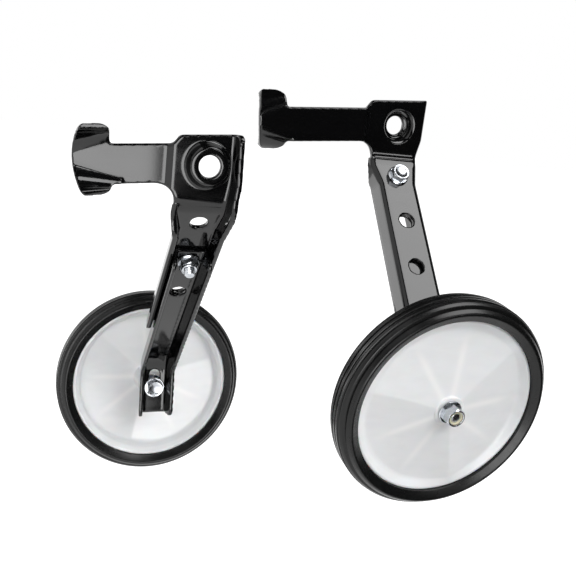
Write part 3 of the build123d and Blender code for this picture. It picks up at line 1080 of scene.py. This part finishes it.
    def build_axle_fasteners(self) -> None:
        """Makes the axle bolt with its nuts and washers."""
        place, bore = self.axle, self.nut_bore_r
        head_washer = self.arm_face - self.arm_sheet - self.washer_height
        inner_washer = self.arm_face + self.nut_height
        outer_washer = -inner_washer - self.washer_height
        lock = outer_washer + self.washer_height
        lock_top = lock + self.lock_height
        end = lock_top - self.end_inset
        head_top = head_washer - self.head_height
        shank, first_turn, last_turn, tip, tip_inset, tip_middle = 2.0, 2.5, 0.7, 0.1, 0.2, 0.6
        bolt = [*reversed(self.dimple(head_top, inwards=1)), *reversed(hex_end(head_washer, head_top))]
        bolt += [Station(self.thread_r, head_washer), Station(self.thread_r, lock + shank)]
        bolt += self.thread(lock + first_turn, end - last_turn)
        bolt += [Station(self.core_r, end - tip), Station(self.core_r - tip_inset, end),
                 Station(tip_middle, end)]
        self.turned("axle_bolt", bolt, place)
        for piece, low in (("axle_head_washer", head_washer), ("inner_washer", inner_washer),
                           ("outer_washer", outer_washer)):
            self.turned(piece, self.washer(low), place, bored=True)
        countersink, lip, lip_depth = 0.5, 0.25, 0.2
        clamp = [Station(bore, self.arm_face), *hex_end(self.arm_face, inner_washer)]
        clamp += [Station(bore + countersink, inner_washer), Station(bore, inner_washer - countersink)]
        self.turned("axle_clamp_nut", clamp, place, bored=True)
        ledge = lock + self.insert_low
        nut = [Station(bore, lock), *hex_end(lock, lock_top, self.lock_chamfer)]
        nut += [Station(self.insert_r + lip, lock_top), Station(self.insert_r, lock_top - lip_depth),
                Station(self.insert_r, ledge), Station(bore, ledge)]
        self.turned("lock_nut", nut, place, bored=True)
        top = ledge + self.insert_height
        outer, edge = self.insert_r, self.insert_edge
        insert = [Station(bore, ledge), Station(outer, ledge), Station(outer, top - edge),
                  Station(outer - edge, top), Station(bore + edge, top), Station(bore, top - edge)]
        Turned(self.side.node("lock_nut_insert"), insert, place, self.finishes[Slot.NYLON], Slot.NYLON,
               bored=True).build()


# Studio


def stage_sheet(name: str, corners: Sequence[Vector], tone: float) -> bpy.types.Object:
    """Makes a flat grey stage sheet without gloss.

    Args:
        name: Its name.
        corners: Its four corners in order.
        tone: Its grey.

    Returns:
        The sheet.
    """
    mesh = bpy.data.meshes.new(name)
    mesh.from_pydata(list(corners), [], [(0, 1, 2, 3)])
    sheet = bpy.data.objects.new(name, mesh)
    bpy.context.collection.objects.link(sheet)
    material = bpy.data.materials.new(name)
    material.use_nodes = True
    shader = material.node_tree.nodes["Principled BSDF"]
    shader.inputs["Base Color"].default_value = (tone, tone, tone, 1)
    shader.inputs["Roughness"].default_value = 1.0
    shader.inputs["Specular IOR Level"].default_value = 0.0
    mesh.materials.append(material)
    return sheet


@dataclass(frozen=True)
class Lamp:
    """Soft box: its place, the point that it faces, its width and height, and its face's brightness."""

    name: str
    task: Task
    at: Place
    aim: Place
    size: tuple[float, float]
    radiance: float
    spread: float = math.pi

    def hang(self) -> None:
        """Hangs the lamp."""
        width, height = self.size
        data = bpy.data.lights.new(self.name, "AREA")
        data.shape = "RECTANGLE"
        data.size, data.size_y = width, height
        data.energy = self.radiance * math.pi * width * height
        data.spread = self.spread
        lamp = bpy.data.objects.new(self.name, data)
        turn = (Vector(self.aim) - Vector(self.at)).to_track_quat("-Z", "Y").to_matrix()
        lamp.matrix_world = Matrix.Translation(self.at) @ turn.to_4x4()
        lamp.visible_diffuse = self.task is Task.LIGHT
        lamp.visible_glossy = self.task is Task.MIRROR
        bpy.context.collection.objects.link(lamp)


@dataclass(frozen=True)
class Flag:
    """Black sheet between two opposite corners, which gloss mirrors and the camera doesn't see."""

    name: str
    low: Place
    high: Place
    tone: float = 0.01

    def set_up(self) -> None:
        """Sets up the flag."""
        start, end = Vector(self.low), Vector(self.high)
        span = end - start
        edge = Vector((span.x, 0, 0)) if span.x else Vector((0, span.y, 0))
        flag = stage_sheet(self.name, [start, start + edge, end, end - edge], self.tone)
        flag.visible_camera = flag.visible_diffuse = flag.visible_shadow = False


LAMPS = (
    Lamp("overhead", Task.MIRROR, (0.36, -0.48, 0.80), (-0.03, -0.03, -0.08), (0.65, 0.65), radiance=6.3),
    Lamp("front", Task.MIRROR, (-0.30, -1.60, -0.25), (-0.2, 0.0, -0.03), (0.85, 0.9), radiance=5.6),
    Lamp("side", Task.MIRROR, (-1.10, 0.97, -0.10), (-0.03, -0.03, -0.10), (0.9, 1.1), radiance=2.4),
    Lamp("strip", Task.MIRROR, (0.45, -1.50, 0.43), (-0.08, 0.0, 0.0), (0.9, 0.12), radiance=6.0),
    Lamp("key", Task.LIGHT, (0.42, -1.25, 0.95), (-0.03, -0.03, -0.12), (0.9, 0.9), radiance=6.2),
    Lamp("spot", Task.LIGHT, (-0.36, -0.85, -0.25), (-0.17, 0.06, -0.20), (0.3, 0.3), radiance=0.22,
         spread=math.radians(22)),
)
FLAGS = (
    Flag("side_flag", (0.13, -1.55, -0.6), (1.7, -1.55, 1.3)),
    Flag("right_flag", (1.7, -1.55, -0.6), (1.7, 0.4, 1.3)),
    Flag("front_flag", (-2.5, -1.65, 0.25), (0.13, -1.65, 1.3)),
    Flag("low_flag", (0.13, -1.55, -0.6), (1.7, -0.35, -0.6)),
    Flag("top_flag", (-0.5, -1.7, 1.3), (2.5, 2.5, 1.3)),
)


@dataclass
class Studio:
    """Camera, floor, world, lamps and flags."""

    image_px: int = 576
    focal_px: float = 750.7
    sensor_mm: float = 36.0
    nearest: float = 0.01
    camera_at: Place = (-0.2251, -0.4347, 0.0136)
    azimuth: float = math.radians(-21.04)
    elevation: float = math.radians(14.65)
    roll: float = math.radians(6.63)
    floor_z: float = -0.62
    floor_half: float = 8.0
    floor_tone: float = 0.5
    floor_glow: float = 0.85
    fade_start: float = 0.4
    fade_end: float = 0.9
    world_light: float = 0.62

    def build(self) -> None:
        """Makes the camera, the floor, the world, the lamps and the flags."""
        self.make_camera()
        self.make_floor()
        self.make_world()
        for lamp in LAMPS:
            lamp.hang()
        for flag in FLAGS:
            flag.set_up()
        bpy.context.scene.view_settings.view_transform = "Standard"
        LOG.info("studio: %d lamps and %d flags", len(LAMPS), len(FLAGS))

    def make_camera(self) -> None:
        """Sets the camera where the photograph was taken from."""
        data = bpy.data.cameras.new("camera")
        data.sensor_width = self.sensor_mm
        data.lens = self.sensor_mm * self.focal_px / self.image_px
        data.clip_start = self.nearest
        camera = bpy.data.objects.new("camera", data)
        back = Vector((math.sin(self.azimuth) * math.cos(self.elevation),
                       -math.cos(self.azimuth) * math.cos(self.elevation), math.sin(self.elevation)))
        turn = (-back).to_track_quat("-Z", "Y").to_matrix() @ Matrix.Rotation(self.roll, 3, "Z")
        camera.matrix_world = Matrix.Translation(self.camera_at) @ turn.to_4x4()
        bpy.context.collection.objects.link(camera)
        bpy.context.scene.camera = camera

    def make_floor(self) -> None:
        """Lays a wide white floor well below the pair, which takes its shadow and fades into the world."""
        signs = ((-1, -1), (1, -1), (1, 1), (-1, 1))
        corners = [Vector((x, y, 0)) * self.floor_half for x, y in signs]
        floor = stage_sheet("floor", corners, self.floor_tone)
        floor.location.z = self.floor_z
        sheet = NodeSheet(floor.data.materials[0].node_tree)
        shader = sheet.tree.nodes["Principled BSDF"]
        shader.inputs["Emission Color"].default_value = (1, 1, 1, 1)
        place = sheet.add("ShaderNodeTexCoord")
        distance = sheet.add("ShaderNodeVectorMath", operation="LENGTH")
        sheet.join(place.outputs["Object"], distance.inputs[0])
        fade = sheet.add("ShaderNodeMapRange", From_Min=self.fade_start, From_Max=self.fade_end,
                         To_Min=self.floor_glow, To_Max=1.0)
        sheet.join(distance.outputs["Value"], fade.inputs["Value"])
        glow = sheet.add("ShaderNodeMath", operation="MULTIPLY")
        sheet.join(fade.outputs["Result"], glow.inputs[0])
        sheet.join(self.seen_rays(sheet, 0.0), glow.inputs[1])
        sheet.join(glow.outputs["Value"], shader.inputs["Emission Strength"])

    def seen_rays(self, sheet: NodeSheet, other: float) -> bpy.types.NodeSocket:
        """Strength that is full for rays that show a background and less for rays that light the object.

        Args:
            sheet: Sheet of nodes to add to.
            other: Strength for all but camera, glossy and transmission rays.

        Returns:
            The strength's output.
        """
        path = sheet.add("ShaderNodeLightPath")
        seen = path.outputs["Is Camera Ray"]
        for key in ("Is Glossy Ray", "Is Transmission Ray"):
            either = sheet.add("ShaderNodeMath", operation="MAXIMUM")
            sheet.join(seen, either.inputs[0])
            sheet.join(path.outputs[key], either.inputs[1])
            seen = either.outputs["Value"]
        return sheet.spread(seen, other, 1.0)

    def make_world(self) -> None:
        """Fills the world with white, which lights the object with part of its strength."""
        world = bpy.data.worlds.new("studio")
        bpy.context.scene.world = world
        world.use_nodes = True
        sheet = NodeSheet(world.node_tree)
        background = sheet.tree.nodes["Background"]
        background.inputs["Color"].default_value = (1, 1, 1, 1)
        sheet.join(self.seen_rays(sheet, self.world_light), background.inputs["Strength"])


def main() -> None:
    """Builds the studio and both units."""
    logging.basicConfig(level=logging.INFO)
    effects = Effects()
    finishes = {finish.slot: finish.make(effects) for finish in FINISHES}
    Studio().build()
    Unit(Side.LEFT, setting=0, crest_turn=math.radians(104), reach=91.5, hook_length=17.0, hook_rise=2.2,
         finishes=finishes).build()
    Unit(Side.RIGHT, setting=1, crest_turn=math.radians(13), reach=67.0, hook_length=18.5, hook_rise=3.0,
         finishes=finishes).build()


if __name__ == "__main__":
    main()
